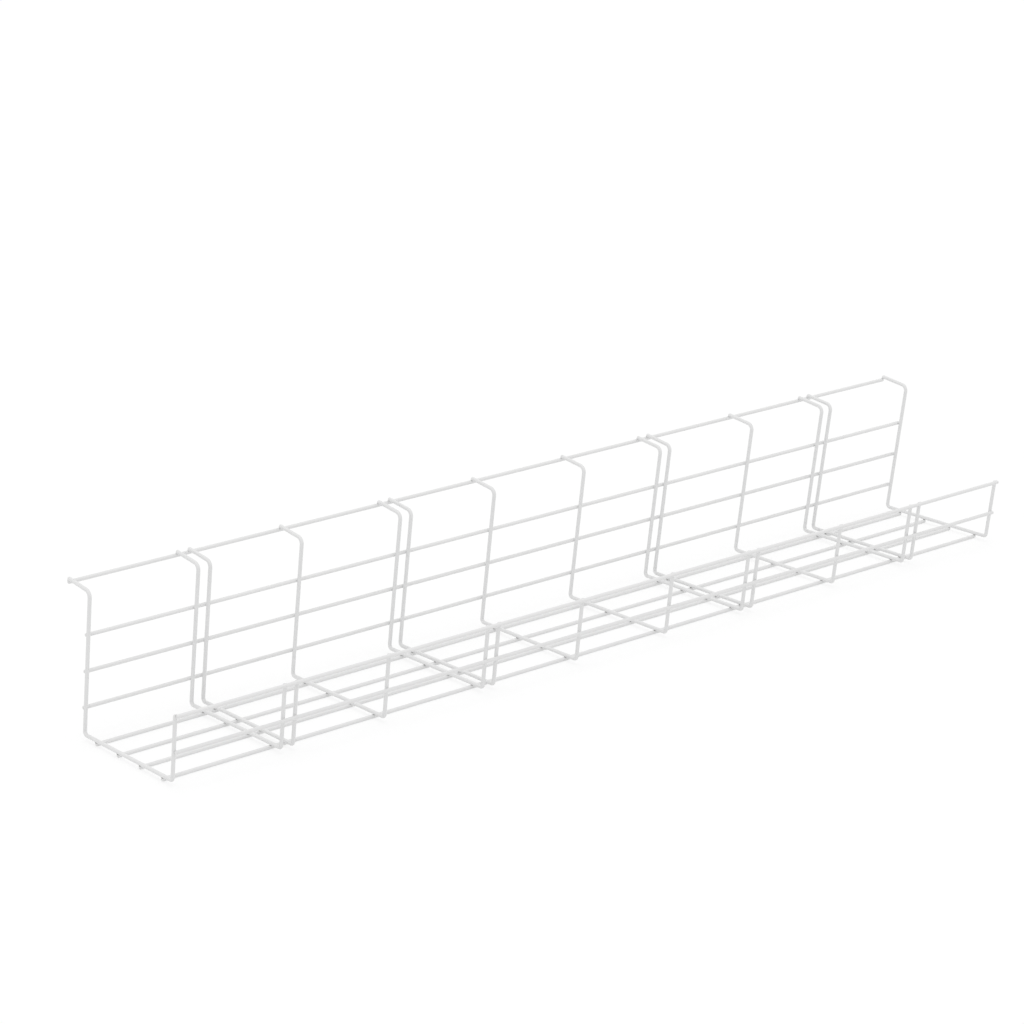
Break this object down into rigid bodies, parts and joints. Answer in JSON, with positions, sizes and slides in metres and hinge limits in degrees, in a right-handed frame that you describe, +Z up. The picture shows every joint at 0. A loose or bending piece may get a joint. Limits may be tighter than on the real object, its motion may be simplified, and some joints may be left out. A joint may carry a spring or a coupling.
{
  "type": "cable basket",
  "caption": "Long open trough of welded steel wire with a lip, hung under a table top to carry cables.",
  "frame": {"origin": "on the ground under the middle of the basket's bounding box", "axes": "+X along the basket, +Y towards the back wall and lip, +Z up, with the basket standing on its floor wires"},
  "size_m": [1.2, 0.2036, 0.1793],
  "materials": {
    "white_powder_coat": "white polyester powder coat, satin, on welded steel wire"
  },
  "bodies": {
    "root": {"cross_wire_1": "white_powder_coat", "cross_wire_2": "white_powder_coat", "cross_wire_3": "white_powder_coat", "cross_wire_4": "white_powder_coat", "cross_wire_5": "white_powder_coat", "cross_wire_6": "white_powder_coat", "cross_wire_7": "white_powder_coat", "cross_wire_8": "white_powder_coat", "cross_wire_9": "white_powder_coat", "cross_wire_10": "white_powder_coat", "cross_wire_11": "white_powder_coat", "cross_wire_12": "white_powder_coat", "cross_wire_13": "white_powder_coat", "cross_wire_14": "white_powder_coat", "floor_wire_1": "white_powder_coat", "floor_wire_2": "white_powder_coat", "floor_wire_3": "white_powder_coat", "floor_wire_4": "white_powder_coat", "back_wire_1": "white_powder_coat", "back_wire_2": "white_powder_coat", "back_wire_3": "white_powder_coat", "front_wire_1": "white_powder_coat", "front_wire_2": "white_powder_coat", "lip_wire": "white_powder_coat"}
  },
  "joints": []
}
